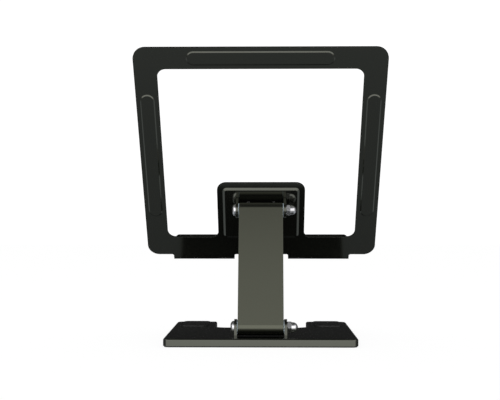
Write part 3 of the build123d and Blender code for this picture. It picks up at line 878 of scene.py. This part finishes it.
# ------------------------------------------------------------------ studio
def make_sky(world, softbox):
    """White surround for the eye and for soft light, and shaped soft boxes for gloss to mirror.

    Each ramp runs from straight down to straight up: on the camera's side, beyond the stand,
    and out to either flank.
    """
    world.use_nodes = True
    tree = world.node_tree
    tree.nodes.clear()
    direction = add_node(tree, "ShaderNodeTexCoord", -1300, 0).outputs["Generated"]
    parts = add_node(tree, "ShaderNodeSeparateXYZ", -1100, 0)
    join(tree, direction, parts.inputs[0])
    height, towards = parts.outputs["Z"], parts.outputs["Y"]

    def ramp(x, y, value, stops):
        """Colour ramp over a height that runs from -1 to 1."""
        share = remap(tree, x, y, value, -1.0, 1.0, 0.0, 1.0)
        node = add_node(tree, "ShaderNodeValToRGB", x + 200, y)
        bands = node.color_ramp
        bands.interpolation = "EASE"
        while len(bands.elements) < len(stops):
            bands.elements.new(0.5)
        for band, (at, shade) in zip(bands.elements, stops):
            band.position = (at + 1) / 2
            band.color = (*shade, 1.0)
        join(tree, share, node.inputs["Fac"])
        return node.outputs["Color"]

    bright = Vector(softbox)
    grey = Vector((1.0, 1.0, 1.0))
    cool = Vector((0.95, 1.0, 1.06))
    by_camera = ramp(-900, 250, height, [
        (-1.00, cool * 0.10), (-0.90, cool * 0.16), (-0.80, cool * 0.23), (-0.45, cool * 0.10),
        (-0.28, bright * 0.55), (-0.05, bright), (0.45, bright), (0.60, bright * 0.62),
        (0.80, grey * 0.12), (1.00, grey * 0.04),
    ])
    beyond = ramp(-900, -150, height, [
        (-1.00, cool * 0.08), (-0.80, cool * 0.12), (-0.58, cool * 0.42), (-0.30, cool * 0.04),
        (0.05, grey * 0.030), (0.14, grey * 0.016), (0.45, grey * 0.03), (1.00, grey * 0.04),
    ])
    flank = ramp(-900, -550, height, [
        (-1.00, cool * 0.10), (-0.75, cool * 0.34), (-0.45, cool * 0.42), (-0.20, grey * 0.14),
        (0.10, grey * 0.12), (0.50, grey * 0.12), (1.00, grey * 0.04),
    ])
    side = remap(tree, -900, -450, towards, -0.25, 0.25, 0.0, 1.0)
    mirrored = blend_colours(tree, -300, 0, side, beyond, by_camera)
    outward = number(tree, "ABSOLUTE", -900, -800, parts.outputs["X"])
    low_sides = remap(tree, -900, -950, height, -0.50, -0.30, 0.20, 0.0)
    outward = number(tree, "ADD", -700, -800, outward, low_sides)
    outward = remap(tree, -500, -800, outward, 0.86, 0.97, 0.0, 1.0)
    mirrored = blend_colours(tree, -150, -100, outward, mirrored, flank)
    rays = add_node(tree, "ShaderNodeLightPath", -600, 500)
    glossy = add_node(tree, "ShaderNodeBackground", 0, 0)
    join(tree, mirrored, glossy.inputs["Color"])
    surround = add_node(tree, "ShaderNodeBackground", 0, 200)
    surround.inputs["Color"].default_value = (1.0, 1.0, 1.0, 1.0)
    surround.inputs["Strength"].default_value = SURROUND_STRENGTH
    mixed = add_node(tree, "ShaderNodeMixShader", 250, 100)
    join(tree, rays.outputs["Is Glossy Ray"], mixed.inputs["Fac"])
    join(tree, surround.outputs[0], mixed.inputs[1])
    join(tree, glossy.outputs[0], mixed.inputs[2])
    output = add_node(tree, "ShaderNodeOutputWorld", 500, 100)
    join(tree, mixed.outputs[0], output.inputs["Surface"])


def make_paper(colour):
    """Pale studio paper that keeps only a faint shadow."""
    material = bpy.data.materials.new("Studio paper")
    material.use_nodes = True
    tree = material.node_tree
    tree.nodes.clear()
    matt = add_node(tree, "ShaderNodeBsdfDiffuse", 0, 0)
    matt.inputs["Color"].default_value = (*colour, 1.0)
    glow = add_node(tree, "ShaderNodeEmission", 0, 200)
    glow.inputs["Color"].default_value = (1.0, 1.0, 1.0, 1.0)
    glow.inputs["Strength"].default_value = 1.0
    mixed = add_node(tree, "ShaderNodeMixShader", 250, 100)
    mixed.inputs["Fac"].default_value = SHADED_SHARE
    join(tree, glow.outputs[0], mixed.inputs[1])
    join(tree, matt.outputs[0], mixed.inputs[2])
    output = add_node(tree, "ShaderNodeOutputMaterial", 500, 100)
    join(tree, mixed.outputs[0], output.inputs["Surface"])
    return material


class STAND_OT_set_studio(bpy.types.Operator):
    """Lay the floor, light the stand softly and place the camera"""

    bl_idname = "stand.set_studio"
    bl_label = "Studio"
    bl_options = {"REGISTER", "UNDO"}

    def execute(self, context):
        studio = context.scene.stand_studio
        scene = context.scene
        scene.view_settings.view_transform = "Standard"
        bpy.ops.object.select_all(action="DESELECT")
        bpy.ops.mesh.primitive_plane_add(size=studio.floor_width, location=(0, 0, -FLOOR_DROP))
        floor = context.object
        floor.name = "studio_floor"
        floor.data.materials.append(make_paper(studio.paper))
        floor.visible_glossy = False
        if scene.world is None:
            scene.world = bpy.data.worlds.new("Studio surround")
        make_sky(scene.world, studio.softbox)
        bpy.ops.object.light_add(type="AREA", location=(0.2, 0.6, 1.6))
        lamp = context.object
        lamp.name = "overhead_softbox"
        lamp.rotation_euler = (-Vector(lamp.location)).to_track_quat("-Z", "Y").to_euler()
        lamp.data.shape = "DISK"
        lamp.data.size = 1.6
        lamp.data.energy = 4.0
        lamp.visible_glossy = False
        turn, rise = studio.camera_turn, studio.camera_rise
        ahead = Vector((-math.sin(turn) * math.cos(rise), -math.cos(turn) * math.cos(rise),
                        math.sin(rise)))
        right = Vector((-math.cos(turn), math.sin(turn), 0))
        upright = right.cross(ahead)
        view = bpy.data.cameras.new("stand_camera")
        camera = bpy.data.objects.new("stand_camera", view)
        scene.collection.objects.link(camera)
        axes = Matrix((right, upright, -ahead)).transposed().to_4x4()
        camera.matrix_world = Matrix.Translation(studio.camera_place) @ axes
        view.sensor_width = 36.0
        view.lens = studio.lens
        view.shift_x = studio.shift_x
        view.shift_y = studio.shift_y
        view.clip_start = 0.01
        view.dof.use_dof = False
        scene.camera = camera
        return {"FINISHED"}


STEPS = (
    STAND_OT_mix_silicone,
    STAND_OT_finish_metal,
    STAND_OT_finish_fasteners,
    STAND_OT_mould_foot,
    STAND_OT_mould_rests,
    STAND_OT_mould_strips,
    STAND_OT_mould_tongue,
    STAND_OT_mould_liners,
    STAND_OT_set_studio,
)
SETTINGS = {
    "stand_lacquer": LacquerSettings,
    "stand_fasteners": FastenerSettings,
    "stand_pads": PadSettings,
    "stand_studio": StudioSettings,
}


class STAND_PT_tools(bpy.types.Panel):
    """Lists the stand's settings and steps"""

    bl_idname = "STAND_PT_tools"
    bl_label = "Tablet stand"
    bl_space_type = "VIEW_3D"
    bl_region_type = "UI"
    bl_category = "Tablet stand"

    def draw(self, context):
        for name, group in SETTINGS.items():
            box = self.layout.box()
            for label in group.__annotations__:
                box.prop(getattr(context.scene, name), label)
        for step in STEPS:
            self.layout.operator(step.bl_idname)


CLASSES = (*SETTINGS.values(), *STEPS, STAND_PT_tools)


def register():
    """Add the classes, and the settings to the scene."""
    for each in CLASSES:
        bpy.utils.register_class(each)
    for name, group in SETTINGS.items():
        setattr(bpy.types.Scene, name, bpy.props.PointerProperty(type=group))


def unregister():
    """Take the settings and classes away again."""
    for name in SETTINGS:
        delattr(bpy.types.Scene, name)
    for each in reversed(CLASSES):
        bpy.utils.unregister_class(each)


def main():
    """Build every piece in order."""
    register()
    for step in STEPS:
        family, name = step.bl_idname.split(".")
        getattr(getattr(bpy.ops, family), name)()


if __name__ == "__main__":
    main()
